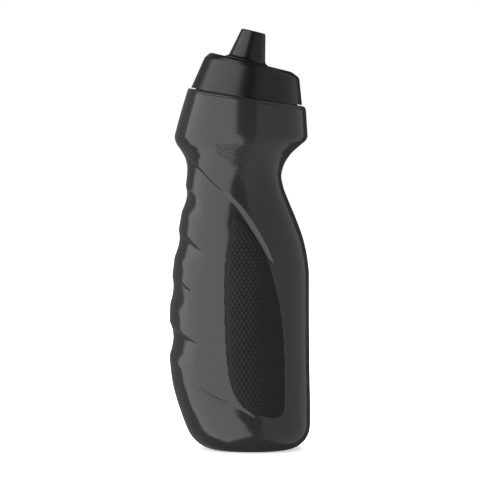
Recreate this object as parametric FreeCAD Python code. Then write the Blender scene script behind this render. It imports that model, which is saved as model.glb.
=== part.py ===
"""Sports squeeze bottle: a blow-moulded body with finger grooves and two soft grip panels,
a screw lid whose neck leans forward, and a push-pull spout.

Frame, in millimetres: +Z up, the bottle stands on z = 0. +X points to the palm side, -X to the
finger side, and the side grip panels face -Y and +Y. The XZ plane is the mirror plane.
"""

import FreeCAD
import Part

import bisect
import math
import os

Vector = FreeCAD.Vector

# ---------------------------------------------------------------- driving dimensions

WALL = 1.2                  # blown wall
PANEL_DEPTH = 1.4           # how deep the pocket of a grip panel is
PANEL_SINK = 0.3            # how far a panel's face lies under the wall around it
PANEL_REACH = 45.0          # half length of the prism that cuts a pocket, past the body's side
OUTLINE_SAMPLES = 64        # points on the grown outline behind a pocket
CUTTER_SIZE = 160.0         # of the block that cuts along a leaning plane

# Side outline of the body, (height, x). The finger grooves are cut out of the finger side.
FINGER_SIDE = [(0, -26.4), (5.3, -27.9), (10.8, -29.3), (16.4, -31.4), (27.5, -35.2), (38.6, -37.9),
               (52.0, -39.2), (72.0, -39.2), (96.0, -37.7), (122.0, -34.1), (135.0, -31.9), (147.0, -30.1),
               (156.0, -29.3), (161.0, -30.1), (166.2, -32.8), (170.4, -35.5), (173.4, -36.3),
               (177.3, -35.5), (206.0, -27.2)]
PALM_SIDE = [(0, 38.8), (20, 39.2), (44, 38.8), (83, 38.5), (96, 38.5), (105.2, 37.7), (116.3, 35.4),
             (127.4, 31.5), (138.5, 26.9), (146, 24.1), (152.0, 23.0), (157, 24.0), (163.4, 27.6),
             (169, 33.4), (171.8, 36.6), (174.0, 37.5), (180, 37.2), (206, 35.4)]
HALF_DEPTH = [(0, 33.8), (20, 34.8), (60, 35.3), (95, 35.2), (120, 32.8), (138, 29.8), (149, 28.8),
              (156, 29.6), (163, 32.0), (170, 34.6), (176, 35.7), (183, 35.4), (206, 31.9)]
SQUARENESS = 2.15           # power of the sections' rounded outline, 2 being an ellipse
BASE_ROUND = 13.0           # radius of the heel
BODY_TOP = 206.0            # the form runs past the ledge and is cut there
SECTION_STEP = 3.0          # height between the form's sections
SECTION_POINTS = 48

# Finger grooves: height and x where the groove leaves the finger side, depth, width, run along x
GROOVES = [(146.2, -30.0, 1.4, 12.0, 9.0), (121.6, -34.0, 1.3, 12.5, 13.0),
           (95.9, -37.6, 1.1, 12.3, 9.0), (70.9, -39.2, 2.0, 13.9, 14.0)]
GROOVE_SLOPE = math.radians(41)     # how steeply the grooves run down towards the palm side

# Outline of a grip panel in side view, (x, z), from its tip down the finger side and back up
PANEL_OUTLINE = [(-3.1, 130.8), (-4.8, 124.3), (-6.8, 113.6), (-8.4, 82.2), (-6.8, 49.8), (-2.0, 31.9),
                 (6.8, 23.6), (14.4, 20.7), (20.6, 20.3), (24.0, 22.2), (24.9, 26.4), (24.9, 40.9), (24.0, 67.4),
                 (20.3, 90.0), (15.0, 106.6), (7.1, 121.1), (1.5, 127.3)]

# Base
DISH_RADIUS = 15.0          # pushed-up centre of the base
DISH_DEPTH = 2.6
DISH_CENTRE_X = 7.0
DISH_SPHERE = 60.0          # radius of the push-up

# Neck: its axis leans towards the palm side
NECK_LEAN = math.radians(9)
NECK_BASE = Vector(3.6, 0, 195.6)   # centre of the ledge that the lid stands over
LEDGE_RADIUS = 33.6
LEDGE_ROUND = 2.0           # rounding of the ledge's outer edge
LEDGE_RING = (26.9, 28.6, 2.0)      # inner and outer radius and height of the ring behind the lid's rim
NECK_HEIGHT = 13.0
NECK_RADIUS = 22.2
NECK_WALL = 1.5

# Screw thread, shared by neck and lid
THREAD_LEAD = 6.0
THREAD_HEIGHT = 1.4
THREAD_ROOT = 2.4           # width at the wall
THREAD_CREST = 1.1          # width at the crest
THREAD_TURNS = 1.25
THREAD_START = 3.2          # height of the neck thread's first turn above the ledge
THREAD_FADE = 30.0          # degrees over which a thread's end grows to full height
THREAD_BURIED = 0.4         # how far a thread's root lies inside its wall
THREAD_GAP = 0.4            # radial gap between a crest and the wall facing it

# Lid: three rings, each (height above the ledge on the neck axis, x offset, half width in x, extra
# lean, half depth in y). The top is deeper than wide, so its edge is blunt only at its two ends.
LID_RIM = (0.5, 0.0, 31.2, 0.0, 31.2)
LID_BREAK = (16.8, 0.45, 26.85, 3.2, 26.85)
LID_TOP = (19.6, -0.55, 23.15, 4.5, 25.5)
LID_BREAK_ROUND = 3.6
LID_TOP_ROUND = 2.2
LID_WALL = 1.8
LID_ROOF = 2.2
SKIRT_WALL = 1.6            # threaded skirt inside the lid
SKIRT_FOOT = 1.2            # height of the threaded skirt's foot above the ledge
SEAL_SEAT = 14.5            # height of the seat that presses the gasket
SEAL_INNER = 19.9

# Spout: stands square on the lid's top, its axis a little towards the finger side of the lid's
SPOUT_X = 3.6
SPOUT_HEIGHT = 17.1
SPOUT_FOOT_RADIUS = 10.5    # of the cone, before its flare
SPOUT_TIP_RADIUS = 7.0
SPOUT_FLARE = 1.7
SPOUT_TIP_ROUND = 1.1
SPOUT_BEVEL = 0.6           # lead-in of the orifice
SPOUT_LIFT = 0.15           # gap under the closed spout
BOSS_RADIUS = 6.3           # fixed tube that the spout slides on
BOSS_BORE = 4.7
BOSS_HEIGHT = 11.0
BOSS_LIP_RADIUS = 6.75      # the lip that stops the open spout
SPOUT_BORE = 7.0
SPOUT_BEAD_HEIGHT = 1.0     # bead at the spout's foot that meets the boss lip
SPOUT_BEAD_RADIUS = 6.38
ORIFICE_RADIUS = 3.0
ORIFICE_LENGTH = 3.0
PIN_RADIUS = 2.94           # plug that closes the orifice
RING_THICK = 1.3            # o-ring on the boss
RING_HEIGHT = 9.0


# ---------------------------------------------------------------- small helpers

def smooth(table, at):
    """Value of a table of (place, value) at a place, on a monotone cubic through its points."""
    places = [p for p, _ in table]
    values = [v for _, v in table]
    if at <= places[0]:
        return values[0]
    if at >= places[-1]:
        return values[-1]
    k = bisect.bisect_right(places, at) - 1
    secants = [(values[i + 1] - values[i]) / (places[i + 1] - places[i]) for i in range(len(places) - 1)]

    def tangent(i):
        if i == 0 or i == len(places) - 1:
            return secants[min(i, len(secants) - 1)]
        before, after = secants[i - 1], secants[i]
        if before * after <= 0:
            return 0.0
        return 2 * before * after / (before + after)

    span = places[k + 1] - places[k]
    t = (at - places[k]) / span
    return (values[k] * (1 + 2 * t) * (1 - t) ** 2 + values[k + 1] * t * t * (3 - 2 * t)
            + span * (tangent(k) * t * (1 - t) ** 2 - tangent(k + 1) * t * t * (1 - t)))


def direction(lean):
    """Unit vector leaning from +Z towards +X."""
    return Vector(math.sin(lean), 0, math.cos(lean))


def across(lean):
    """Unit vector square to direction(lean), towards +X."""
    return Vector(math.cos(lean), 0, -math.sin(lean))


def revolved(profile, base, lean):
    """Solid of a closed (radius, height) profile turned about a leaning axis through base."""
    points = [base + across(lean) * r + direction(lean) * h for r, h in profile]
    face = Part.Face(Part.makePolygon(points + points[:1]))
    return face.revolve(base, direction(lean), 360)


def cylinder(radius, low, high, base, lean):
    return Part.makeCylinder(radius, high - low, base + direction(lean) * low, direction(lean))


def above(base, lean):
    """Big block on the upper side of the leaning plane through base."""
    size = CUTTER_SIZE
    block = Part.makeBox(size, size, size, Vector(-size / 2, -size / 2, 0))
    block.rotate(Vector(0, 0, 0), Vector(0, 1, 0), math.degrees(lean))
    block.translate(base)
    return block


def one_solid(shape):
    """The shape as its single solid."""
    solids = shape.removeSplitter().Solids
    assert len(solids) == 1, f"{len(solids)} solids where one was expected"
    return solids[0]


# ---------------------------------------------------------------- bottle body

def groove_depth(x, z):
    """How far the finger grooves pull the wall in at a point of the side view."""
    total = 0.0
    for top, start_x, depth, width, run in GROOVES:
        along = (x - start_x) / run
        below = (top - (x - start_x) * math.tan(GROOVE_SLOPE) - z) * math.cos(GROOVE_SLOPE)
        share = below / width
        if 0 < share < 1 and along < 1:
            total += depth * (1 - max(along, 0)) * math.sin(math.pi * share ** 0.85)
    return total


def section(z, inset):
    """Points round the body at a height, pulled in by inset all round, the first one repeated."""
    heel = BASE_ROUND - inset
    rise = max(heel - (z - inset), 0)
    pulled = inset + heel - math.sqrt(max(heel * heel - rise * rise, 0))
    left = smooth(FINGER_SIDE, z) + pulled
    right = smooth(PALM_SIDE, z) - pulled
    half_depth = smooth(HALF_DEPTH, z) - pulled
    centre, half = (left + right) / 2, (right - left) / 2
    points = []
    for k in range(SECTION_POINTS + 1):
        turn = 2 * math.pi * (k % SECTION_POINTS) / SECTION_POINTS
        c, s = math.cos(turn), math.sin(turn)
        reach = (abs(c / half) ** SQUARENESS + abs(s / half_depth) ** SQUARENESS) ** (-1 / SQUARENESS)
        reach -= groove_depth(centre + reach * c, z)
        points.append(Vector(centre + reach * c, reach * s, z))
    return points


def body_form(inset):
    """Closed form of the body, pulled in by inset, running past the ledge."""
    heel = BASE_ROUND - inset
    heights = [inset + heel * (1 - math.cos(math.radians(a))) for a in range(0, 80, 13)]
    steps = round((BODY_TOP - BASE_ROUND) / SECTION_STEP)
    heights += [BASE_ROUND + (BODY_TOP - BASE_ROUND) * k / steps for k in range(steps + 1)]
    surface = Part.BSplineSurface()
    surface.interpolate([section(h, inset) for h in heights])
    for k in range(1, surface.NbUPoles + 1):
        surface.setPole(k, surface.NbVPoles, surface.getPole(k, 1))
    side = surface.toShape()
    rings = [Part.Wire(e) for e in side.Edges if e.BoundBox.ZLength < 1e-3]
    shell = Part.makeShell([side] + [Part.Face(ring) for ring in rings])
    shell.sewShape()
    return Part.Solid(shell)


def panel_prism(side, grow=0.0):
    """Prism over a grip panel's outline on one side, its outline grown outwards."""
    curve = Part.BSplineCurve()
    curve.interpolate(Points=[Vector(x, 0, z) for x, z in PANEL_OUTLINE], PeriodicFlag=True)
    if grow:
        grown = []
        for k in range(OUTLINE_SAMPLES):
            at = curve.LastParameter * k / OUTLINE_SAMPLES
            ahead = curve.tangent(at)[0]
            grown.append(curve.value(at) + Vector(ahead.z, 0, -ahead.x) * grow)
        curve = Part.BSplineCurve()
        curve.interpolate(Points=grown, PeriodicFlag=True)
    face = Part.Face(Part.Wire(curve.toShape()))
    return face.extrude(Vector(0, side * PANEL_REACH, 0))


def thread(wall_radius, outward, start_height, first_turn, turns, base, lean):
    """Helical ridge on a wall, growing in and out at its ends. outward is 1 or -1."""
    step = 15
    count = int(round(turns * 360 / step))
    sections = []
    for k in range(count + 1):
        swept = k * step
        size = min(1.0, 0.08 + swept / THREAD_FADE, 0.08 + (count * step - swept) / THREAD_FADE)
        turn = math.radians(first_turn * 360 + swept)
        middle = start_height + THREAD_LEAD * turn / (2 * math.pi)
        radial = across(lean) * math.cos(turn) + Vector(0, 1, 0) * math.sin(turn)
        foot = wall_radius - outward * THREAD_BURIED
        crest = wall_radius + outward * THREAD_HEIGHT * size
        half_root = THREAD_ROOT / 2
        half_crest = half_root + (THREAD_CREST / 2 - half_root) * size
        corners = [(foot, -half_root), (crest, -half_crest), (crest, half_crest), (foot, half_root)]
        points = [base + radial * r + direction(lean) * (middle + h) for r, h in corners]
        sections.append(Part.makePolygon(points + points[:1]))
    return Part.makeLoft(sections, True, False)


def edge_cutter():
    """Ring that rounds the ledge's outer edge: an arc over the edge, then clear of the body."""
    inner = LEDGE_RADIUS - LEDGE_ROUND
    arc = []
    for k in range(6):
        a = math.radians(90 - 14 * k)
        arc.append((inner + LEDGE_ROUND * math.cos(a), LEDGE_ROUND * (math.sin(a) - 1)))
    out = LEDGE_RADIUS + 8
    return revolved(arc + [(out, arc[-1][1]), (out, 1), (inner, 1)], NECK_BASE, NECK_LEAN)


def make_body(pockets):
    """Body shell with its neck, its ledge, the panels' pockets and the pushed-up base."""
    ledge_cut = above(NECK_BASE, NECK_LEAN)
    form = body_form(0.0).cut(ledge_cut)
    form = form.cut(edge_cutter())
    neck = revolved([(0, -3), (NECK_RADIUS, -3), (NECK_RADIUS, NECK_HEIGHT - 0.5),
                     (NECK_RADIUS - 0.5, NECK_HEIGHT), (0, NECK_HEIGHT)], NECK_BASE, NECK_LEAN)
    inner, outer, rise = LEDGE_RING
    ring = revolved([(inner, -0.5), (outer, -0.5), (outer, rise - 0.4), (outer - 0.4, rise),
                     (inner + 0.4, rise), (inner, rise - 0.4)], NECK_BASE, NECK_LEAN)
    ridge = thread(NECK_RADIUS, 1, THREAD_START, 0, THREAD_TURNS, NECK_BASE, NECK_LEAN)
    form = form.fuse(neck).fuse(ring).fuse(ridge)

    cavity = body_form(WALL).cut(above(NECK_BASE - direction(NECK_LEAN) * (WALL + 0.5), NECK_LEAN))
    thick_wall = WALL + PANEL_DEPTH
    core = body_form(thick_wall)
    for side in (-1, 1):
        cavity = cavity.cut(panel_prism(side, grow=WALL).cut(core))
    dome_centre = Vector(DISH_CENTRE_X, 0, DISH_DEPTH - DISH_SPHERE)
    dome = Part.makeSphere(DISH_SPHERE, dome_centre)
    cavity = cavity.cut(Part.makeSphere(DISH_SPHERE + WALL, dome_centre))
    bore = cylinder(NECK_RADIUS - NECK_WALL, -8, NECK_HEIGHT + 1, NECK_BASE, NECK_LEAN)
    dish = dome.common(Part.makeCylinder(DISH_RADIUS, DISH_DEPTH * 2, Vector(DISH_CENTRE_X, 0, -1)))
    for hollow in [cavity, bore, dish] + pockets:
        form = form.cut(hollow)
    return one_solid(form)


def make_panels():
    """Pockets and the two grip panels that fill them, a little under the wall around them."""
    core = body_form(PANEL_DEPTH)
    skin = body_form(PANEL_SINK)
    pockets, panels = [], []
    for side in (-1, 1):
        prism = panel_prism(side)
        pockets.append(prism.cut(core))
        panels.append(one_solid(prism.common(skin).cut(core)))
    return pockets, panels


# ---------------------------------------------------------------- lid

def ring_place(ring):
    """Centre and lean of one of the lid's rings."""
    centre = NECK_BASE + direction(NECK_LEAN) * ring[0] + across(NECK_LEAN) * ring[1]
    return centre, NECK_LEAN + math.radians(ring[3])


def ring_wire(ring):
    """One of the lid's rings as a wire that starts at its +Y end."""
    half_width, half_depth = ring[2], ring[4]
    if half_depth > half_width:
        curve = Part.Ellipse(Vector(0, half_depth, 0), Vector(-half_width, 0, 0), Vector(0, 0, 0))
    else:
        curve = Part.Circle(Vector(0, 0, 0), Vector(0, 0, 1), half_width)
    wire = Part.Wire(curve.toShape())
    centre, lean = ring_place(ring)
    if half_depth == half_width:
        wire.rotate(Vector(0, 0, 0), Vector(0, 0, 1), 90)
    wire.rotate(Vector(0, 0, 0), Vector(0, 1, 0), math.degrees(lean))
    wire.translate(centre)
    return wire


def spout_base():
    """Where the spout's axis meets the lid's top."""
    centre, lean = ring_place(LID_TOP)
    return centre + across(lean) * ((SPOUT_X - centre.x) / math.cos(lean))


def edges_on(shape, ring, tolerance=0.05):
    """The shape's edges that lie on one of the lid's rings."""
    centre, lean = ring_place(ring)

    def on_ring(point):
        away = point - centre
        share = (away.dot(across(lean)) / ring[2]) ** 2 + (away.y / ring[4]) ** 2
        return abs(away.dot(direction(lean))) < tolerance and abs(share - 1) < tolerance

    return [edge for edge in shape.Edges if all(on_ring(point) for point in edge.discretize(7))]


def make_lid():
    """Outer shell, threaded skirt, gasket seat, and the tube that the spout slides on."""
    shell = Part.makeLoft([ring_wire(r) for r in (LID_RIM, LID_BREAK, LID_TOP)], True, True)
    shell = shell.makeFillet(LID_BREAK_ROUND, edges_on(shell, LID_BREAK))
    shell = shell.makeFillet(LID_TOP_ROUND, edges_on(shell, LID_TOP))

    skirt_bore = NECK_RADIUS + THREAD_HEIGHT + THREAD_GAP
    skirt_outer = skirt_bore + SKIRT_WALL
    slope = (LID_RIM[2] - LID_BREAK[2]) / (LID_BREAK[0] - LID_RIM[0])
    inner_rim = LID_RIM[2] - LID_WALL
    meet = LID_RIM[0] + (inner_rim - skirt_outer) / slope - 0.6
    groove = revolved([(skirt_outer, LID_RIM[0] - 1), (inner_rim + slope, LID_RIM[0] - 1),
                       (inner_rim - slope * (meet - LID_RIM[0]), meet), (skirt_outer, meet)],
                      NECK_BASE, NECK_LEAN)
    mouth = cylinder(skirt_bore, LID_RIM[0] - 1, SEAL_SEAT, NECK_BASE, NECK_LEAN)
    foot = cylinder(skirt_outer + 0.5, LID_RIM[0] - 1, SKIRT_FOOT, NECK_BASE, NECK_LEAN)
    top_centre, top_lean = ring_place(LID_TOP)
    roof_plane = top_centre - direction(top_lean) * LID_ROOF
    attic = cylinder(SEAL_INNER, SEAL_SEAT - 1, 25, NECK_BASE, NECK_LEAN).cut(above(roof_plane, top_lean))
    shell = shell.cut(groove).cut(mouth).cut(foot).cut(attic)

    ridge = thread(skirt_bore, -1, THREAD_START - THREAD_LEAD / 2, 0.45, THREAD_TURNS,
                   NECK_BASE, NECK_LEAN)
    base = spout_base()
    ring_low = RING_HEIGHT - RING_THICK / 2
    ring_high = RING_HEIGHT + RING_THICK / 2
    ring_seat = SPOUT_BORE - RING_THICK
    boss = revolved([(0, -LID_ROOF / 2), (BOSS_RADIUS, -LID_ROOF / 2), (BOSS_RADIUS, ring_low - 0.7),
                     (BOSS_LIP_RADIUS - 0.1, ring_low - 0.3), (BOSS_LIP_RADIUS - 0.1, ring_low),
                     (ring_seat, ring_low), (ring_seat, ring_high), (BOSS_LIP_RADIUS, ring_high),
                     (BOSS_LIP_RADIUS, BOSS_HEIGHT - 0.4), (BOSS_LIP_RADIUS - 0.4, BOSS_HEIGHT),
                     (0, BOSS_HEIGHT)], base, top_lean)
    bore = cylinder(BOSS_BORE, -LID_ROOF - 3, BOSS_HEIGHT + 1, base, top_lean)
    return one_solid(shell.fuse(ridge).fuse(boss).cut(bore))


def make_gasket():
    """Flat sealing ring between the neck's rim and the lid's seat."""
    outer = NECK_RADIUS + 0.9
    return revolved([(SEAL_INNER + 0.3, NECK_HEIGHT), (outer, NECK_HEIGHT),
                     (outer, SEAL_SEAT), (SEAL_INNER + 0.3, SEAL_SEAT)], NECK_BASE, NECK_LEAN)


# ---------------------------------------------------------------- spout

def make_spout():
    """Push-pull nozzle: a cone with a flared foot, bored for the boss, with a small orifice."""
    base, lean = spout_base(), ring_place(LID_TOP)[1]
    taper = (SPOUT_FOOT_RADIUS - SPOUT_TIP_RADIUS) / SPOUT_HEIGHT
    flare = []
    for k in range(7):
        a = math.radians(90 * k / 6)
        rise = SPOUT_FLARE * (1 - math.cos(a))
        flare.append((SPOUT_FOOT_RADIUS - taper * rise + SPOUT_FLARE * (1 - math.sin(a)),
                      SPOUT_LIFT + 0.35 + rise))
    tip = []
    for k in range(1, 7):
        a = math.radians(90 * k / 6)
        tip.append((SPOUT_TIP_RADIUS - SPOUT_TIP_ROUND * (1 - math.cos(a)),
                    SPOUT_HEIGHT - SPOUT_TIP_ROUND * (1 - math.sin(a))))
    bore_top = SPOUT_HEIGHT - ORIFICE_LENGTH
    bead_top = SPOUT_LIFT + SPOUT_BEAD_HEIGHT
    profile = [(SPOUT_BEAD_RADIUS, SPOUT_LIFT), (flare[0][0], SPOUT_LIFT)] + flare + tip + [
        (ORIFICE_RADIUS + SPOUT_BEVEL, SPOUT_HEIGHT), (ORIFICE_RADIUS, SPOUT_HEIGHT - SPOUT_BEVEL),
        (ORIFICE_RADIUS, bore_top), (5.0, bore_top - 0.4), (5.3, bore_top - 1.6),
        (SPOUT_BORE, BOSS_HEIGHT + 0.9), (SPOUT_BORE, bead_top + 0.5), (SPOUT_BEAD_RADIUS, bead_top)]
    return one_solid(revolved(profile, base, lean))


def make_pin():
    """Closing pin with its three-armed spider, pressed into the boss from below."""
    base, lean = spout_base(), ring_place(LID_TOP)[1]
    low = -LID_ROOF
    tip = SPOUT_HEIGHT - 0.9
    pin = revolved([(0, low), (1.6, low), (1.6, 7.0), (2.0, 10.0), (PIN_RADIUS, 12.6),
                    (PIN_RADIUS, tip - 0.8), (PIN_RADIUS - 0.8, tip), (0, tip)], base, lean)
    hub_ring = cylinder(BOSS_BORE, low, low + 2.4, base, lean).cut(
        cylinder(BOSS_BORE - 0.9, low - 1, low + 3, base, lean))
    pin = pin.fuse(hub_ring)
    for k in range(3):
        arm = Part.makeBox(BOSS_BORE - 0.4, 1.0, 2.2, Vector(0, -0.5, low))
        arm.rotate(Vector(0, 0, 0), Vector(0, 0, 1), 60 + 120 * k)
        arm.rotate(Vector(0, 0, 0), Vector(0, 1, 0), math.degrees(lean))
        arm.translate(base)
        pin = pin.fuse(arm)
    return one_solid(pin)


def make_o_ring():
    """O-ring in the boss's groove, wiping the spout's bore."""
    base, lean = spout_base(), ring_place(LID_TOP)[1]
    radius = RING_THICK / 2 - 0.02
    ring = Part.makeTorus(SPOUT_BORE - 0.02 - radius, radius, base + direction(lean) * RING_HEIGHT,
                          direction(lean))
    return ring


# ---------------------------------------------------------------- write the pieces

def main():
    os.makedirs("parts", exist_ok=True)
    pockets, panels = make_panels()
    pieces = {
        "bottle_body": make_body(pockets),
        "grip_panel_right": panels[0],
        "grip_panel_left": panels[1],
        "lid": make_lid(),
        "lid_gasket": make_gasket(),
        "spout": make_spout(),
        "closing_pin": make_pin(),
        "spout_o_ring": make_o_ring(),
    }
    for name, shape in pieces.items():
        box = shape.BoundBox
        print(f"{name}: valid {shape.isValid()}, {shape.Volume / 1000:.2f} ml, "
              f"x {box.XMin:.2f}..{box.XMax:.2f} y {box.YMin:.2f}..{box.YMax:.2f} "
              f"z {box.ZMin:.2f}..{box.ZMax:.2f}")
        shape.exportStep(f"parts/{name}.step")


main()
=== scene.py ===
"""Looks of the sports squeeze bottle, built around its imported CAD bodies.

Objects are in metres in the part's frame: +Z up, the finger grooves at -X, the palm side at +X,
and the grip panels facing -Y and +Y. The bottle's shapes are worked out in millimetres and scaled
by MM when a mesh is made. The studio is in metres. The XZ plane is the body's mirror plane.
"""

import math

import bpy
import numpy as np
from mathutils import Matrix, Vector


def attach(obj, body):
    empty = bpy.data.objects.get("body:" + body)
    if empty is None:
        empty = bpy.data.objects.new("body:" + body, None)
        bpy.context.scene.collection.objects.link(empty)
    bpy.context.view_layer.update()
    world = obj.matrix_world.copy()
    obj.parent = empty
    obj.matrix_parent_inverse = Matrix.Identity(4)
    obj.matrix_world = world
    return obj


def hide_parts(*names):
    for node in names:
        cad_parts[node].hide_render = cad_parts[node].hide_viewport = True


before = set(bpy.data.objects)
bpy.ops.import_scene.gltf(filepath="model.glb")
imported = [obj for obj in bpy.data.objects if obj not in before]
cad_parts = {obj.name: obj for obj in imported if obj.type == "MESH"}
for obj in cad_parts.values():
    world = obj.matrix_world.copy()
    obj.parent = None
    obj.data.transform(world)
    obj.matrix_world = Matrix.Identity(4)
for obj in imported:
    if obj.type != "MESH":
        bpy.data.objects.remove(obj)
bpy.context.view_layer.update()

MM = 0.001

# ---------------------------------------------------------------- the body's form, with the CAD's values

WALL = 1.2
PANEL_DEPTH = 1.4           # how deep the pocket of a grip panel is

# Outlines of the body by height: x on the finger side, x on the palm side, half its depth in y
FINGER_SIDE = [(0, -26.4), (5.3, -27.9), (10.8, -29.3), (16.4, -31.4), (27.5, -35.2), (38.6, -37.9),
               (52.0, -39.2), (72.0, -39.2), (96.0, -37.7), (122.0, -34.1), (135.0, -31.9),
               (147.0, -30.1), (156.0, -29.3), (161.0, -30.1), (166.2, -32.8), (170.4, -35.5),
               (173.4, -36.3), (177.3, -35.5), (206.0, -27.2)]
PALM_SIDE = [(0, 38.8), (20, 39.2), (44, 38.8), (83, 38.5), (96, 38.5), (105.2, 37.7), (116.3, 35.4),
             (127.4, 31.5), (138.5, 26.9), (146, 24.1), (152.0, 23.0), (157, 24.0), (163.4, 27.6),
             (169, 33.4), (171.8, 36.6), (174.0, 37.5), (180, 37.2), (206, 35.4)]
HALF_DEPTH = [(0, 33.8), (20, 34.8), (60, 35.3), (95, 35.2), (120, 32.8), (138, 29.8), (149, 28.8),
              (156, 29.6), (163, 32.0), (170, 34.6), (176, 35.7), (183, 35.4), (206, 31.9)]
SQUARENESS = 2.15           # power of the sections' rounded outline, 2 being an ellipse
BASE_ROUND = 13.0
BODY_TOP = 206.0            # the form runs past the ledge

# Finger grooves: height and x of the upper edge at the finger side, depth, width, and run in x
GROOVES = [(146.2, -30.0, 1.4, 12.0, 9.0), (121.6, -34.0, 1.3, 12.5, 13.0),
           (95.9, -37.6, 1.1, 12.3, 9.0), (70.9, -39.2, 2.0, 13.9, 14.0)]
GROOVE_SLOPE = math.radians(41)
GROOVE_SKEW = 0.85          # below 1, a groove is deepest nearer its upper edge

# Outline of a grip panel in side view, (x, z), from its tip down the finger side and back up
PANEL_OUTLINE = [(-3.1, 130.8), (-4.8, 124.3), (-6.8, 113.6), (-8.4, 82.2), (-6.8, 49.8), (-2.0, 31.9),
                 (6.8, 23.6), (14.4, 20.7), (20.6, 20.3), (24.0, 22.2), (24.9, 26.4), (24.9, 40.9),
                 (24.0, 67.4), (20.3, 90.0), (15.0, 106.6), (7.1, 121.1), (1.5, 127.3)]

DISH_RADIUS = 15.0          # pushed-up centre of the base
DISH_DEPTH = 2.6
DISH_CENTRE_X = 7.0
DISH_SPHERE = 60.0

NECK_LEAN = math.radians(9)         # towards the palm side
NECK_BASE = np.array([3.6, 0.0, 195.6])
NECK_AXIS = np.array([math.sin(NECK_LEAN), 0.0, math.cos(NECK_LEAN)])
NECK_ACROSS = np.array([math.cos(NECK_LEAN), 0.0, -math.sin(NECK_LEAN)])
NECK_HEIGHT = 13.0
NECK_RADIUS = 22.2
NECK_WALL = 1.5
LEDGE_RADIUS = 33.6
LEDGE_ROUND = 2.0
LEDGE_RING = (26.9, 28.6, 2.0)      # inner and outer radius and height of the ring on the ledge

THREAD_LEAD = 6.0
THREAD_HEIGHT = 1.4
THREAD_ROOT = 2.4           # width at the wall
THREAD_CREST = 1.1          # width at the crest
THREAD_TURNS = 1.25
THREAD_START = 3.2
THREAD_FADE = 30.0          # degrees over which an end grows by the ridge's full height
THREAD_BURIED = 0.3         # how far the ridge's root lies inside the neck's wall (0.4 in the CAD)
THREAD_TIP = 0.08           # share of its height at which the ridge starts
THREAD_STEP = 5             # degrees between the ridge's sections

CEILING = WALL + 0.5        # how far under the ledge the hollow ends

# ---------------------------------------------------------------- mesh fineness

COLUMNS = 520               # round the body
SIDE_ROWS = 430             # up the body's side
HEEL_DEGREES = range(0, 84, 6)      # rows round the heel, by angle of its arc
INNER_ROWS = 50
OUTLINE_POINTS = 260        # on a grip panel's outline
FOLD_POINTS = 60            # on a fold's line

# Searches on the form: for the height at which a column meets the ledge or the hollow's ceiling,
# and for the turn at which the form has a given x
SEARCH_FROM = 150.0
HALVINGS = 40
TURN_STEPS = 30
TURN_GAIN = 40              # millimetres of error in x that turn the next guess by one radian


# ---------------------------------------------------------------- curves and small maths

def monotone(table, at):
    """Values of a table of (place, value) on a monotone cubic through its points."""
    places, values = np.array(table, float).T
    secants = np.diff(values) / np.diff(places)
    before, after = secants[:-1], secants[1:]
    total = np.where(before + after == 0, 1, before + after)
    inner = np.where(before * after > 0, 2 * before * after / total, 0)
    tangents = np.concatenate([secants[:1], inner, secants[-1:]])
    at = np.clip(at, places[0], places[-1])
    k = np.clip(np.searchsorted(places, at, side="right") - 1, 0, len(places) - 2)
    span = places[k + 1] - places[k]
    t = (at - places[k]) / span
    return (values[k] * (1 + 2 * t) * (1 - t) ** 2 + values[k + 1] * t * t * (3 - 2 * t)
            + span * (tangents[k] * t * (1 - t) ** 2 - tangents[k + 1] * t * t * (1 - t)))


def fade(t):
    """0 up to t = 0, 1 from t = 1, smooth between."""
    t = np.clip(t, 0, 1)
    return t * t * (3 - 2 * t)


def spline(points, samples, closed=False):
    """Points along a cubic spline through points, spaced by chord length."""
    p = np.array(points, float)
    if closed:
        p = np.vstack([p, p[:1]])
    chord = np.linalg.norm(np.diff(p, axis=0), axis=1)
    knots = np.concatenate([[0], np.cumsum(chord)])
    n = len(p)
    system = np.zeros((n, n))
    right = np.zeros((n, p.shape[1]))
    for i in range(1, n - 1):
        system[i, i - 1:i + 2] = chord[i - 1], 2 * (chord[i - 1] + chord[i]), chord[i]
        right[i] = 6 * ((p[i + 1] - p[i]) / chord[i] - (p[i] - p[i - 1]) / chord[i - 1])
    if closed:
        system[0, 0], system[0, -1] = 1, -1
        system[-1, 0], system[-1, 1] = 2 * chord[0], chord[0]
        system[-1, -2], system[-1, -1] = chord[-1], 2 * chord[-1]
        right[-1] = 6 * ((p[1] - p[0]) / chord[0] - (p[-1] - p[-2]) / chord[-1])
    else:
        system[0, 0] = system[-1, -1] = 1
    bend = np.linalg.solve(system, right)
    at = np.linspace(0, knots[-1], samples, endpoint=not closed)
    k = np.clip(np.searchsorted(knots, at, side="right") - 1, 0, n - 2)
    h = chord[k][:, None]
    a = (knots[k + 1] - at)[:, None] / h
    b = 1 - a
    return (a * p[k] + b * p[k + 1]
            + ((a ** 3 - a) * bend[k] + (b ** 3 - b) * bend[k + 1]) * h * h / 6)


def to_curve(curve, x, z, closed=False):
    """Signed distance from points to a curve, positive on its left, and the share along it."""
    shape = x.shape
    q = np.stack([x.ravel(), z.ravel()], 1)
    start = curve if closed else curve[:-1]
    end = np.roll(curve, -1, 0) if closed else curve[1:]
    step = end - start
    best = np.full(len(q), np.inf)
    side = np.ones(len(q))
    share = np.zeros(len(q))
    for i in range(len(start)):
        away = q - start[i]
        t = np.clip(away @ step[i] / (step[i] @ step[i]), 0, 1)
        gap = away - t[:, None] * step[i]
        distance = np.einsum("ij,ij->i", gap, gap)
        nearer = distance < best
        best[nearer] = distance[nearer]
        side[nearer] = np.sign(step[i][0] * away[nearer, 1] - step[i][1] * away[nearer, 0])
        share[nearer] = (i + t[nearer]) / len(start)
    return (side * np.sqrt(best)).reshape(shape), share.reshape(shape)


# ---------------------------------------------------------------- the body's smooth form

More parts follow.
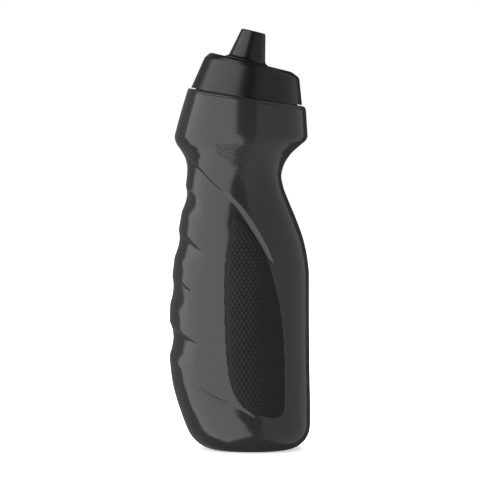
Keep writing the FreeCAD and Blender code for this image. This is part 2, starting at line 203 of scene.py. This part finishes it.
def groove_depth(x, z):
    """How far the finger grooves pull the wall in at a point of the side view."""
    total = np.zeros(np.shape(x))
    for top, start_x, depth, width, run in GROOVES:
        along = np.clip((x - start_x) / run, 0, 1)
        below = (top - (x - start_x) * math.tan(GROOVE_SLOPE) - z) * math.cos(GROOVE_SLOPE)
        share = np.clip(below / width, 0, 1)
        total = total + depth * (1 - along) * np.sin(math.pi * share ** GROOVE_SKEW)
    return total


def skin(turn, z, inset=0.0):
    """Points (x, y, z) of the body's form at turns about the vertical and heights."""
    heel = BASE_ROUND - inset
    rise = np.maximum(heel - (z - inset), 0)
    pulled = inset + heel - np.sqrt(np.maximum(heel * heel - rise * rise, 0))
    left = monotone(FINGER_SIDE, z) + pulled
    right = monotone(PALM_SIDE, z) - pulled
    half_depth = monotone(HALF_DEPTH, z) - pulled
    centre, half = (left + right) / 2, (right - left) / 2
    c, s = np.cos(turn), np.sin(turn)
    reach = (np.abs(c / half) ** SQUARENESS + np.abs(s / half_depth) ** SQUARENESS) ** (-1 / SQUARENESS)
    reach = reach - groove_depth(centre + reach * c, z)
    return np.stack([centre + reach * c, reach * s, z + 0 * c], -1)


def neck_frame(points):
    """Height above the ledge, radius and turn about the neck's axis of points."""
    away = points - NECK_BASE
    height = away @ NECK_AXIS
    u = away @ NECK_ACROSS
    v = away[..., 1]
    return height, np.hypot(u, v), np.arctan2(v, u)


def neck_point(height, radius, turn):
    """Points at heights above the ledge, radii and turns about the neck's axis."""
    height, radius, turn = np.broadcast_arrays(height, radius, turn)
    return (NECK_BASE + height[..., None] * NECK_AXIS
            + (radius * np.cos(turn))[..., None] * NECK_ACROSS
            + (radius * np.sin(turn))[..., None] * np.array([0.0, 1.0, 0.0]))


def solve_height(turn, inset, gap):
    """Height at which each column of the form meets gap(height, radius) = 0 in the neck's frame."""
    low = np.full(turn.shape, SEARCH_FROM)
    high = np.full(turn.shape, BODY_TOP)
    for _ in range(HALVINGS):
        middle = (low + high) / 2
        height, radius, _ = neck_frame(skin(turn, middle, inset))
        above = gap(height, radius) > 0
        high = np.where(above, middle, high)
        low = np.where(above, low, middle)
    return low


def surface_turn(x, z, side):
    """The turn at which the body's form has a given x at a given height, on one side."""
    turn = np.full(np.shape(x), np.pi / 2 * side)
    for _ in range(TURN_STEPS):
        turn = turn + side * (skin(turn, z)[..., 0] - x) / TURN_GAIN
    return turn


def surface_normal(turn, z):
    """Outward unit normal of the body's form."""
    ahead = skin(turn + 1e-3, z) - skin(turn - 1e-3, z)
    up = skin(turn, z + 0.01) - skin(turn, z - 0.01)
    normal = np.cross(ahead, up)
    return normal / np.linalg.norm(normal, axis=-1, keepdims=True)


# ---------------------------------------------------------------- what the mould adds to the skin

# A fold is a line in side view, running down towards the palm side, below which the skin drops by a
# flat chamfer. Each has its line, the chamfer's width by share along it, the chamfer's slope (one, or
# by share), and the distance over which the skin comes back up: a number for a soft return, or
# widths by share for a flat one.
RIDGE = ([(-32.5, 166.5), (-30.1, 164.0), (-23.9, 158.6), (-15.8, 150.5), (-9.0, 144.8),
          (-1.2, 138.2), (4.9, 131.3), (10.1, 123.6), (14.3, 116.6), (17.0, 111.4), (20.6, 101.2)],
         [(0.0, 0.8), (0.2, 1.7), (0.33, 1.5), (0.5, 2.2), (0.6, 3.0), (0.75, 3.3), (0.88, 3.2),
          (1.0, 0.0)],
         [(0.0, 0.85), (0.35, 0.85), (0.45, 0.55), (1.0, 0.5)], 34.0)
WEDGE = ([(-25.0, 38.7), (-12.4, 31.6), (-7.5, 29.8), (-3.1, 27.9), (1.3, 25.6), (5.1, 23.1),
          (9.0, 20.2)],
         [(0.0, 0.3), (0.15, 0.9), (0.36, 1.3), (0.6, 1.2), (0.8, 1.0), (1.0, 0.3)],
         [(0.0, 0.5), (0.25, 0.8), (0.5, 0.8), (0.7, 0.5), (1.0, 0.4)],
         [(0.0, 1.6), (0.22, 1.6), (0.32, 2.0), (0.5, 3.4), (0.75, 4.8), (1.0, 6.0)])
GROOVE_LIPS = [([(-36.5, 70.2), (-33.2, 67.3), (-28.6, 64.3), (-24.2, 61.6), (-22.4, 60.4)],
                [(0.0, 3.6), (0.5, 2.6), (0.85, 1.2), (1.0, 0.0)], 0.6, 8.0),
               ([(-36.0, 96.4), (-31.8, 93.8), (-28.1, 90.8), (-26.6, 89.6)],
                [(0.0, 3.0), (0.5, 2.2), (0.85, 1.1), (1.0, 0.0)], 0.6, 6.0),
               ([(-32.5, 122.0), (-28.4, 118.8), (-24.6, 115.3), (-21.2, 112.0), (-19.6, 110.4)],
                [(0.0, 3.8), (0.5, 2.8), (0.85, 1.3), (1.0, 0.0)], 0.6, 7.0)]
FOOT_CREASE = ([(-27.0, 23.0), (-18.5, 20.2), (-14.6, 13.3), (-8.6, 10.1), (-5.0, 9.0)],
               [(0.0, 4.0), (0.3, 7.0), (0.7, 6.0), (1.0, 0.5)], 0.045, 9.0)
FOLDS = [RIDGE, WEDGE, FOOT_CREASE] + GROOVE_LIPS
CHAMFER_SOFTNESS = 0.18     # share of a chamfer's width taken by the rounding of each of its edges


def chamfer(t):
    """0 up to t = 0, 1 from t = 1, straight between but for rounded ends."""
    t = np.clip(t, 0, 1)
    soft = CHAMFER_SOFTNESS
    rise = np.where(t < soft, t * t / (2 * soft),
                    np.where(t > 1 - soft, 1 - soft - (1 - t) ** 2 / (2 * soft), t - soft / 2))
    return rise / (1 - soft)


def fold_depth(fold, x, z):
    """How far a fold pulls the skin in at points of the side view."""
    line, face, slope, back = fold
    distance, share = to_curve(spline(line, FOLD_POINTS), x, z)
    below = -distance
    width = np.maximum(monotone(face, share), 1e-6)
    steep = monotone(slope, share) if isinstance(slope, list) else slope
    if isinstance(back, list):
        returned = np.clip((below - width) / monotone(back, share), 0, 1)
    else:
        returned = fade((below - width) / back)
    return np.where(below > 0, steep * width * chamfer(below / width) * (1 - returned), 0)


FACING_FROM = 0.12          # sideways part of the normal from which the folds show
FACING_OVER = 0.5           # and the rise of it over which they reach full depth


def mould_depth(points, normals):
    """How far the folds pull the skin in: fully on the sides, not at all at front and back."""
    depth = sum(fold_depth(fold, points[..., 0], points[..., 2]) for fold in FOLDS)
    return depth * fade((np.abs(normals[..., 1]) - FACING_FROM) / FACING_OVER)


OUTLINE = spline(PANEL_OUTLINE, OUTLINE_POINTS, closed=True)


def inside_panel(x, z):
    """Distance inside the grip panel's outline, negative outside it."""
    distance, _ = to_curve(OUTLINE, x, z, closed=True)
    return distance


# ---------------------------------------------------------------- meshes

def grid_normals(points):
    """Outward unit normals of a grid whose rows climb and whose columns run anticlockwise."""
    up = np.gradient(points, axis=0)
    wrapped = np.concatenate([points[:, -1:], points, points[:, :1]], 1)
    round_ = (wrapped[:, 2:] - wrapped[:, :-2]) / 2
    normal = np.cross(round_, up)
    return normal / np.maximum(np.linalg.norm(normal, axis=-1, keepdims=True), 1e-9)


def tube_faces(rows, columns, first=0):
    """Quads of a grid that closes on itself along its columns."""
    index = first + np.arange(rows * columns).reshape(rows, columns)
    beside = np.roll(index, -1, 1)
    return np.stack([index[:-1], beside[:-1], beside[1:], index[1:]], -1).reshape(-1, 4).tolist()


def make_object(name, points, faces, material, sharp_angle=35):
    """Mesh object from points in millimetres, shaded smooth but for sharp edges."""
    mesh = bpy.data.meshes.new(name)
    mesh.from_pydata((np.asarray(points) * MM).tolist(), [], faces)
    mesh.validate()
    mesh.update()
    mesh.shade_smooth()
    mesh.set_sharp_from_angle(angle=math.radians(sharp_angle))
    mesh.materials.append(material)
    made = bpy.data.objects.new(name, mesh)
    bpy.context.scene.collection.objects.link(made)
    return made


def thread_mesh(first):
    """Points and faces of the neck's screw ridge, its ends growing out of the wall."""
    count = int(THREAD_TURNS * 360 / THREAD_STEP) + 1
    swept = np.arange(count) * THREAD_STEP
    size = np.minimum(1, THREAD_TIP + np.minimum(swept, swept[-1] - swept) / THREAD_FADE)
    turn = np.radians(swept)
    middle = THREAD_START + THREAD_LEAD * turn / (2 * math.pi)
    crest = NECK_RADIUS + THREAD_HEIGHT * size
    half_root = THREAD_ROOT / 2
    half_crest = half_root + (THREAD_CREST / 2 - half_root) * size
    foot = NECK_RADIUS - THREAD_BURIED
    loops = [neck_point(middle - half_root, foot, turn), neck_point(middle - half_crest, crest, turn),
             neck_point(middle + half_crest, crest, turn), neck_point(middle + half_root, foot, turn)]
    points = np.stack(loops, 1).reshape(-1, 3)
    faces = tube_faces(count, 4, first)
    faces.append([first + k for k in (3, 2, 1, 0)])
    faces.append([first + (count - 1) * 4 + k for k in range(4)])
    return points, faces


POCKET_START = 0.05         # inside the panel's outline, where its pocket starts to drop
POCKET_WALL = 0.6           # over which the pocket reaches its depth
DISH_RINGS = (0.02, 0.25, 0.5, 0.75, 0.985)     # shares of the pushed-up centre's radius
DISH_EDGE = 0.25            # height at which its edge breaks
FOOT_SPREAD = 1.015         # radius of the foot's inner ring over the dish's
LEDGE_STEPS = 8             # rings round the ledge's edge
LEDGE_START = 0.12          # share of the edge's arc at the first of them
FLOOR_RINGS = (0.6, 0.3, 0.02)                  # shares of the inner floor's radius
FLOOR_RISE = 0.1            # added to the wall between the pushed-up centre and the inner floor
# Broken edges: at the foot of the ring and the neck, and on the ring, the neck's rim and its bore
FOOT_BREAK = 0.15
RING_BREAK = 0.4
RIM_BREAK = 0.5
BORE_BREAK = 0.3


def body_mesh():
    """The blown body: base, skin, ledge, neck, bore and inner wall in one closed surface."""
    turn = np.arange(COLUMNS) * 2 * math.pi / COLUMNS
    inner_edge = LEDGE_RADIUS - LEDGE_ROUND

    def past_edge(height, radius):
        return height + LEDGE_ROUND - np.sqrt(np.maximum(LEDGE_ROUND ** 2 - (radius - inner_edge) ** 2, 0))

    top = solve_height(turn, 0.0, past_edge)
    heel = [BASE_ROUND * (1 - math.cos(math.radians(a))) for a in HEEL_DEGREES]
    climb = np.linspace(0, 1, SIDE_ROWS)
    heights = [np.full(COLUMNS, h) for h in heel] + [BASE_ROUND + (top - BASE_ROUND) * u for u in climb]
    side = skin(turn[None, :], np.array(heights))
    normals = grid_normals(side)
    inside = inside_panel(side[..., 0], side[..., 2])
    pocket = PANEL_DEPTH * fade((inside - POCKET_START) / POCKET_WALL)
    side = side - normals * (mould_depth(side, normals) + pocket)[..., None]

    rows = []
    rim = side[0]
    hub = np.array([DISH_CENTRE_X, 0.0])
    ring = np.stack([hub[0] + DISH_RADIUS * np.cos(turn), hub[1] + DISH_RADIUS * np.sin(turn)], 1)
    for radius_share in DISH_RINGS:
        r = radius_share * DISH_RADIUS
        height = DISH_DEPTH - DISH_SPHERE + math.sqrt(DISH_SPHERE ** 2 - r * r)
        rows.append(np.column_stack([hub + (ring - hub) * radius_share, np.full(COLUMNS, height)]))
    rows.append(np.column_stack([ring, np.full(COLUMNS, DISH_EDGE)]))
    rows.append(np.column_stack([hub + (ring - hub) * FOOT_SPREAD, np.zeros(COLUMNS)]))
    rows.append(np.column_stack([(ring + rim[:, :2]) / 2, np.zeros(COLUMNS)]))
    rows.extend(side)

    height, radius, neck_turn = neck_frame(side[-1])
    first_angle = np.arctan2(height + LEDGE_ROUND, radius - inner_edge)
    for share in np.linspace(LEDGE_START, 1, LEDGE_STEPS):
        angle = first_angle + (math.pi / 2 - first_angle) * share
        rows.append(neck_point(LEDGE_ROUND * (np.sin(angle) - 1),
                               inner_edge + LEDGE_ROUND * np.cos(angle), neck_turn))
    bore = NECK_RADIUS - NECK_WALL
    ring_in, ring_out, ring_top = LEDGE_RING
    # (height above the ledge, radius): over the ring, up the neck, over its rim and down the bore
    neck = [(0.0, ring_out + FOOT_BREAK), (FOOT_BREAK, ring_out),
            (ring_top - RING_BREAK, ring_out), (ring_top, ring_out - RING_BREAK),
            (ring_top, ring_in + RING_BREAK), (ring_top - RING_BREAK, ring_in),
            (FOOT_BREAK, ring_in), (0.0, ring_in - FOOT_BREAK),
            (0.0, NECK_RADIUS + RIM_BREAK), (FOOT_BREAK, NECK_RADIUS + FOOT_BREAK),
            (RIM_BREAK, NECK_RADIUS), (6.0, NECK_RADIUS), (NECK_HEIGHT - RIM_BREAK, NECK_RADIUS),
            (NECK_HEIGHT - FOOT_BREAK, NECK_RADIUS - FOOT_BREAK), (NECK_HEIGHT, NECK_RADIUS - RIM_BREAK),
            (NECK_HEIGHT, bore + BORE_BREAK), (NECK_HEIGHT - BORE_BREAK, bore),
            (4.0, bore), (-CEILING, bore)]
    for level, r in neck:
        rows.append(neck_point(level, r, turn))
    ceiling = solve_height(turn, WALL, lambda h, r: h + CEILING)
    floor = WALL + DISH_DEPTH + FLOOR_RISE
    inner_heights = [floor + (ceiling - floor) * u for u in np.linspace(1, 0, INNER_ROWS)]
    lining = skin(turn[None, :], np.array(inner_heights), WALL)
    out = grid_normals(lining[::-1])[::-1]
    backed = PANEL_DEPTH * fade((inside_panel(lining[..., 0], lining[..., 2]) + 2 * WALL) / WALL)
    lining = lining - out * (backed + mould_depth(lining, out))[..., None]
    rows.extend(lining)
    last = lining[-1]
    for share in FLOOR_RINGS:
        rows.append(np.column_stack([hub + (last[:, :2] - hub) * share, last[:, 2]]))

    grid = np.array(rows)
    points = grid.reshape(-1, 3)
    faces = tube_faces(len(rows), COLUMNS)
    faces.append(list(range(COLUMNS))[::-1])
    faces.append(list(range((len(rows) - 1) * COLUMNS, len(rows) * COLUMNS)))
    ridge_points, ridge_faces = thread_mesh(len(points))
    return np.vstack([points, ridge_points]), faces + ridge_faces


# ---------------------------------------------------------------- grip panels

HEX_PITCH = 2.5
HEX_RADIUS = 0.98
HEX_HEIGHT = 0.2
HEX_SLOPE = 0.5             # width of a dot's rounded side
HEX_START = 4.0             # x of the lattice's first column
PANEL_LIP = 0.12            # how far the plain face lies under the skin around it
PANEL_EDGE = 0.45           # width over which the panel's edge rounds down
PANEL_BORDER = 1.6          # plain border around the hexagons
BORDER_FADE = 0.8           # over which the hexagons grow inside the border
PANEL_BACK_GAP = 0.02       # between a panel's back and its pocket
PANEL_END = 0.05            # between the outline's ends and the first and last rows
END_BUNCHING = 0.15         # share by which the rows stand closer at a panel's two ends
PANEL_ROWS = 380
PANEL_COLUMNS = 104


def hex_dots(u, v):
    """Height of rounded hexagonal dots on a staggered lattice."""
    row_pitch = HEX_PITCH * math.sqrt(3) / 2
    nearest = np.full(u.shape, np.inf)
    row = np.floor(v / row_pitch)
    for dr in (0, 1):
        line = row + dr
        shift = (line % 2) * HEX_PITCH / 2
        column = np.round((u - shift) / HEX_PITCH)
        du = np.abs(u - shift - column * HEX_PITCH)
        dv = np.abs(v - line * row_pitch)
        hexagon = np.maximum(du, du / 2 + dv * math.sqrt(3) / 2)
        nearest = np.minimum(nearest, hexagon)
    return HEX_HEIGHT * fade((HEX_RADIUS - nearest) / HEX_SLOPE)


def panel_mesh(side):
    """A grip panel: its dotted face follows the body's skin, its back lies in the pocket."""
    low, high = OUTLINE[:, 1].min(), OUTLINE[:, 1].max()
    bottom, top = OUTLINE[:, 1].argmin(), OUTLINE[:, 1].argmax()
    turned = np.roll(OUTLINE, -bottom, 0)
    cut = (top - bottom) % len(OUTLINE)
    one, other = turned[:cut + 1], np.vstack([turned[cut:], turned[:1]])[::-1]
    left, right = (one, other) if one[:, 0].mean() < other[:, 0].mean() else (other, one)
    ease = np.linspace(0, math.pi, PANEL_ROWS)
    share = np.linspace(0, 1, PANEL_ROWS)
    mixed = (1 - END_BUNCHING) * share + END_BUNCHING * (1 - np.cos(ease)) / 2
    z = low + PANEL_END + (high - low - 2 * PANEL_END) * mixed
    across = np.linspace(0, 1, PANEL_COLUMNS)
    x_left = np.interp(z, left[:, 1], left[:, 0])
    x_right = np.interp(z, right[:, 1], right[:, 0])
    x = x_left[:, None] + (x_right - x_left)[:, None] * across
    z = np.repeat(z[:, None], PANEL_COLUMNS, 1)
    turn = surface_turn(x, z, side)
    face = skin(turn, z)
    normal = surface_normal(turn, z)
    inside = inside_panel(x, z)
    edge = np.clip(1 - inside / PANEL_EDGE, 0, 1)
    rounding = PANEL_EDGE * (1 - np.sqrt(np.maximum(1 - edge ** 2, 0)))
    dots = hex_dots(x - HEX_START, z) * fade((inside - PANEL_BORDER) / BORDER_FADE)
    depth = PANEL_LIP + rounding - dots
    front = face - normal * depth[..., None]
    back = face - normal * (PANEL_DEPTH - PANEL_BACK_GAP)
    columns = PANEL_COLUMNS
    points = np.vstack([front.reshape(-1, 3), back.reshape(-1, 3)])
    index = np.arange(PANEL_ROWS * columns).reshape(PANEL_ROWS, columns)
    quads = np.stack([index[:-1, :-1], index[:-1, 1:], index[1:, 1:], index[1:, :-1]], -1).reshape(-1, 4)
    behind = quads[:, ::-1] + index.size
    rim = np.concatenate([index[0, :-1], index[:-1, -1], index[-1, :0:-1], index[:0:-1, 0]])
    following = np.roll(rim, -1)
    wall = np.stack([rim, rim + index.size, following + index.size, following], -1)
    faces = np.vstack([quads, behind, wall])
    if side > 0:
        faces = faces[:, ::-1]
    return points, faces.tolist()


# ---------------------------------------------------------------- stipple on the shoulder

# Outline of the patch in side view, (x, z), from its upper corner on the finger side
STIPPLE_EDGE = [(-14.6, 171.0), (-12.4, 164.0), (-8.6, 161.9), (-3.1, 155.8), (0.2, 150.4), (5.1, 143.3),
                (8.4, 140.3), (9.6, 140.3), (12.2, 171.0)]
STIPPLE_PITCH = 1.7
STIPPLE_RADIUS = 0.62
STIPPLE_HEIGHT = 0.4
STIPPLE_SIDES = 10
STIPPLE_MARGIN = 0.2        # between the patch's edge and a dome's centre
STIPPLE_JITTER = 0.14       # how far a dome strays from the lattice
# Rings of a dome from its top down, (share of its radius, share of its height)
STIPPLE_RINGS = [(0.3, 0.9), (0.6, 0.62), (0.85, 0.25), (1.0, 0.0), (1.0, -0.6)]


def stipple_mesh(side):
    """A patch of small closed domes on the shoulder, each sunk a little into the skin."""
    edge = np.array(STIPPLE_EDGE)
    rows = np.arange(edge[:, 1].min(), edge[:, 1].max(), STIPPLE_PITCH * math.sqrt(3) / 2)
    spots = []
    for k, z in enumerate(rows):
        start = edge[:, 0].min() + (k % 2) * STIPPLE_PITCH / 2
        spots.extend((x, z) for x in np.arange(start, edge[:, 0].max(), STIPPLE_PITCH))
    spots = np.array(spots)
    # The four odd factors only make the strays look unordered.
    spots += STIPPLE_JITTER * np.column_stack([np.sin(spots[:, 1] * 7.3 + spots[:, 0] * 3.1),
                                               np.cos(spots[:, 0] * 5.7 - spots[:, 1] * 2.9)])
    inside, _ = to_curve(edge, spots[:, 0], spots[:, 1], closed=True)
    spots = spots[inside > STIPPLE_MARGIN]
    turn = surface_turn(spots[:, 0], spots[:, 1], side)
    normal = surface_normal(turn, spots[:, 1])
    centre = skin(turn, spots[:, 1])
    across = np.cross(np.array([0.0, 0.0, 1.0]), normal)
    across /= np.linalg.norm(across, axis=-1, keepdims=True)
    along = np.cross(normal, across)
    around = np.arange(STIPPLE_SIDES) * 2 * math.pi / STIPPLE_SIDES
    points, faces = [], []
    for c, n, a, b in zip(centre, normal, across, along):
        first = len(points)
        for wide, high in STIPPLE_RINGS:
            for angle in around:
                points.append(c + n * high * STIPPLE_HEIGHT
                              + (a * math.cos(angle) + b * math.sin(angle)) * wide * STIPPLE_RADIUS)
        faces.extend(face[::-1] for face in tube_faces(len(STIPPLE_RINGS), STIPPLE_SIDES, first))
        faces.append([first + k for k in range(STIPPLE_SIDES)])
        last = first + (len(STIPPLE_RINGS) - 1) * STIPPLE_SIDES
        faces.append([last + k for k in reversed(range(STIPPLE_SIDES))])
    return points, faces


# ---------------------------------------------------------------- materials

FLOW_SCALE = 22.0           # of the noise behind the flow marks, per metre
GRAIN_HEIGHT = 0.0002       # metres


def new_material(name):
    """A material with its node tree and its shader."""
    material = bpy.data.materials.new(name)
    material.use_nodes = True
    tree = material.node_tree
    shader = tree.nodes["Principled BSDF"]
    return material, tree, shader


def add_node(tree, kind, **settings):
    """New shader node, with values for its inputs or its own settings."""
    node = tree.nodes.new(kind)
    for key, value in settings.items():
        if key in node.inputs:
            node.inputs[key].default_value = value
        else:
            setattr(node, key, value)
    return node


def moulded_plastic(name, dark, light, roughness, spread, grain_scale, grain, shine=0.5):
    """Moulded plastic: faint flow marks in its colour, uneven gloss, and a fine grain."""
    material, tree, shader = new_material(name)
    coords = add_node(tree, "ShaderNodeTexCoord")
    flow = add_node(tree, "ShaderNodeTexNoise", Scale=FLOW_SCALE, Detail=3.0)
    colour = add_node(tree, "ShaderNodeMix", data_type="RGBA")
    colour.inputs[6].default_value = (*dark, 1)
    colour.inputs[7].default_value = (*light, 1)
    gloss = add_node(tree, "ShaderNodeMapRange")
    gloss.inputs["To Min"].default_value = roughness - spread
    gloss.inputs["To Max"].default_value = roughness + spread
    fine = add_node(tree, "ShaderNodeTexNoise", Scale=grain_scale, Detail=2.0)
    bump = add_node(tree, "ShaderNodeBump", Strength=grain, Distance=GRAIN_HEIGHT)
    link = tree.links.new
    link(coords.outputs["Object"], flow.inputs["Vector"])
    link(coords.outputs["Object"], fine.inputs["Vector"])
    link(flow.outputs["Fac"], colour.inputs[0])
    link(colour.outputs[2], shader.inputs["Base Color"])
    link(flow.outputs["Fac"], gloss.inputs["Value"])
    link(gloss.outputs["Result"], shader.inputs["Roughness"])
    link(fine.outputs["Fac"], bump.inputs["Height"])
    link(bump.outputs["Normal"], shader.inputs["Normal"])
    shader.inputs["IOR"].default_value = 1.5
    shader.inputs["Specular IOR Level"].default_value = shine
    return material


BODY_PLASTIC = moulded_plastic("body_plastic", dark=(0.012, 0.012, 0.0125), light=(0.0145, 0.0145, 0.015),
                               roughness=0.16, spread=0.02, grain_scale=900.0, grain=0.04)
LID_PLASTIC = moulded_plastic("lid_plastic", dark=(0.002, 0.002, 0.0022), light=(0.003, 0.003, 0.0032),
                              roughness=0.28, spread=0.02, grain_scale=1400.0, grain=0.1)
GRIP_RUBBER = moulded_plastic("grip_rubber", dark=(0.004, 0.004, 0.0042), light=(0.006, 0.006, 0.0063),
                              roughness=0.5, spread=0.05, grain_scale=2500.0, grain=0.2, shine=0.28)
SEAL_RUBBER = moulded_plastic("seal_rubber", dark=(0.05, 0.05, 0.052), light=(0.06, 0.06, 0.062),
                              roughness=0.6, spread=0.05, grain_scale=2500.0, grain=0.2)


# ---------------------------------------------------------------- pieces

def place(piece, body, slot, *nodes):
    """Fasten a piece to a body, standing for the given CAD nodes; slot is not used."""
    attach(piece, body)
    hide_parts(*nodes)


body = make_object("bottle_skin", *body_mesh(), BODY_PLASTIC)
place(body, "bottle", "body", "bottle_body")

for side_name, side in (("right", -1), ("left", 1)):
    panel = make_object(f"grip_{side_name}", *panel_mesh(side), GRIP_RUBBER)
    place(panel, "bottle", "grip", f"grip_panel_{side_name}")

    stipple = make_object(f"stipple_{side_name}", *stipple_mesh(side), BODY_PLASTIC)
    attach(stipple, "bottle")

for node, material in (("lid", LID_PLASTIC), ("closing_pin", LID_PLASTIC), ("spout", LID_PLASTIC),
                       ("lid_gasket", SEAL_RUBBER), ("spout_o_ring", SEAL_RUBBER)):
    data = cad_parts[node].data
    data.materials.clear()
    data.materials.append(material)


# ---------------------------------------------------------------- studio

CAMERA_HEIGHT = 0.205
CAMERA_DISTANCE = 2.0
LENS = 270.0
SENSOR = 36.0
AIM = Vector((0.0, 0.0, 0.1163))
ROOM_LIGHT = 0.05           # brightness of the room, as mirrored in the bottle
FLOOR_RADII = (0.5, 1.5, 3.0, 6.0)
FLOOR_SIDES = 96


def aimed(thing, target):
    """Turn a camera or light to face a point."""
    thing.rotation_euler = (target - thing.location).to_track_quat("-Z", "Y").to_euler()


def add_camera():
    """Long lens at the lid's height, looking along +Y and a little down at the bottle's middle."""
    data = bpy.data.cameras.new("camera")
    data.lens = LENS
    data.sensor_width = SENSOR
    camera = bpy.data.objects.new("camera", data)
    camera.location = (0.0, -CAMERA_DISTANCE, CAMERA_HEIGHT)
    aimed(camera, AIM)
    bpy.context.scene.collection.objects.link(camera)
    bpy.context.scene.camera = camera


def softbox(name, azimuth, elevation, distance, width, height, radiance, roll=0, mirrored=True):
    """Area light at an azimuth from the camera's side (positive to its right), facing the bottle.

    Its power is set so that the panel looks equally bright whatever its size. roll leans its edges.
    """
    data = bpy.data.lights.new(name, "AREA")
    data.shape = "RECTANGLE"
    data.size = width
    data.size_y = height
    data.energy = 4 * radiance * width * height
    light = bpy.data.objects.new(name, data)
    a, e = math.radians(azimuth), math.radians(elevation)
    towards = Vector((math.sin(a) * math.cos(e), -math.cos(a) * math.cos(e), math.sin(e)))
    light.location = AIM + distance * towards
    aimed(light, AIM)
    light.rotation_euler.rotate_axis("Z", math.radians(roll))
    light.visible_camera = False
    light.visible_glossy = mirrored
    bpy.context.scene.collection.objects.link(light)


def add_floor():
    """Round pale floor. It lets the tall softboxes through to what is mirrored in the bottle."""
    rings, sides = FLOOR_RADII, FLOOR_SIDES
    points = [(0.0, 0.0, 0.0)]
    for radius in rings:
        for k in range(sides):
            a = 2 * math.pi * k / sides
            points.append((radius * math.cos(a), radius * math.sin(a), 0.0))
    faces = [(0, 1 + k, 1 + (k + 1) % sides) for k in range(sides)]
    faces += [tuple(1 + i for i in face[::-1]) for face in tube_faces(len(rings), sides)]
    mesh = bpy.data.meshes.new("floor")
    mesh.from_pydata(points, [], faces)
    material, tree, shader = new_material("floor_paper")
    shader.inputs["Base Color"].default_value = (0.9, 0.9, 0.9, 1)
    shader.inputs["Roughness"].default_value = 0.9
    shader.inputs["Specular IOR Level"].default_value = 0.0
    shader.inputs["Emission Color"].default_value = (1, 1, 1, 1)
    coords = add_node(tree, "ShaderNodeTexCoord")
    far = add_node(tree, "ShaderNodeVectorMath", operation="LENGTH")
    glow = add_node(tree, "ShaderNodeMapRange")
    glow.inputs["From Min"].default_value = 0.1
    glow.inputs["From Max"].default_value = 1.0
    glow.inputs["To Min"].default_value = 0.6
    tree.links.new(coords.outputs["Object"], far.inputs[0])
    tree.links.new(far.outputs["Value"], glow.inputs["Value"])
    tree.links.new(glow.outputs["Result"], shader.inputs["Emission Strength"])
    mesh.materials.append(material)
    floor = bpy.data.objects.new("floor", mesh)
    floor.visible_glossy = False
    floor.visible_shadow = False
    bpy.context.scene.collection.objects.link(floor)


def add_world():
    """White behind the scene, and a dim room for everything else."""
    world = bpy.data.worlds.new("studio")
    world.use_nodes = True
    tree = world.node_tree
    room = tree.nodes["Background"]
    room.inputs["Color"].default_value = (ROOM_LIGHT, ROOM_LIGHT, ROOM_LIGHT, 1)
    paper = tree.nodes.new("ShaderNodeBackground")
    paper.inputs["Color"].default_value = (1, 1, 1, 1)
    path = tree.nodes.new("ShaderNodeLightPath")
    mix = tree.nodes.new("ShaderNodeMixShader")
    tree.links.new(path.outputs["Is Camera Ray"], mix.inputs[0])
    tree.links.new(room.outputs[0], mix.inputs[1])
    tree.links.new(paper.outputs[0], mix.inputs[2])
    tree.links.new(mix.outputs[0], tree.nodes["World Output"].inputs["Surface"])
    bpy.context.scene.world = world


def add_studio():
    """A tall leaning key on the left, a wide dim fill on the right, one faint behind, one overhead."""
    add_camera()
    add_floor()
    add_world()
    softbox("key_left", -57, 0, 1.3, 3.1, 5.0, 1.48, roll=24)
    softbox("fill_right", 79, 0, 1.3, 4.33, 4.4, 0.325)
    softbox("rear_left", -145, 0, 1.6, 1.8, 3.0, 0.1)
    softbox("overhead", 180, 80, 1.8, 2.4, 2.4, 3.0, mirrored=False)
    bpy.context.scene.view_settings.view_transform = "Standard"


add_studio()
